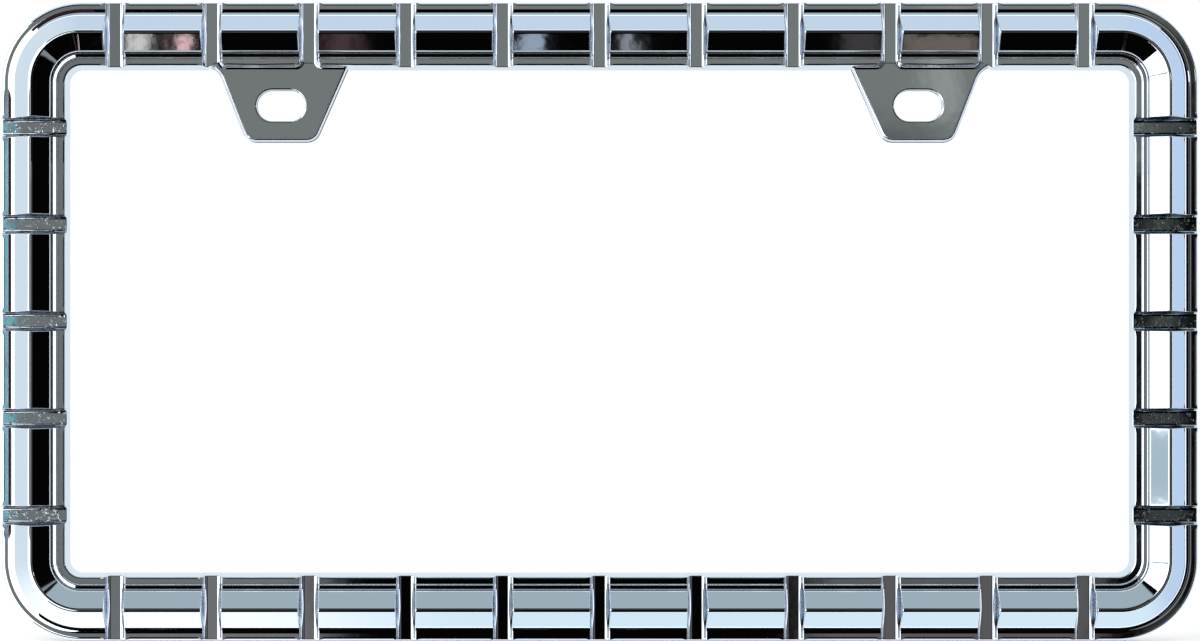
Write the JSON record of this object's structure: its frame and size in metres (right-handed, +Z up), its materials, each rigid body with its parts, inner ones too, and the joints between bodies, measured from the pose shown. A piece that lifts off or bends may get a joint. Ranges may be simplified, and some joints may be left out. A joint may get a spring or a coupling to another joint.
{
  "type": "number plate holder",
  "caption": "Closed rectangular frame for a vehicle number plate, with ridged bars cut by cross grooves and slotted screw tabs.",
  "frame": {"origin": "midway between the two screw slots, on the back face that lies on the number plate", "axes": "+X along the frame's long side and the line of the screw slots, +Y out of the back towards the vehicle, +Z up as worn"},
  "size_m": [0.3334, 0.0101, 0.1778],
  "materials": {
    "chrome_plate": "polished chrome plate on a zinc casting"
  },
  "bodies": {
    "root": {"plate_frame": "chrome_plate"}
  },
  "joints": []
}
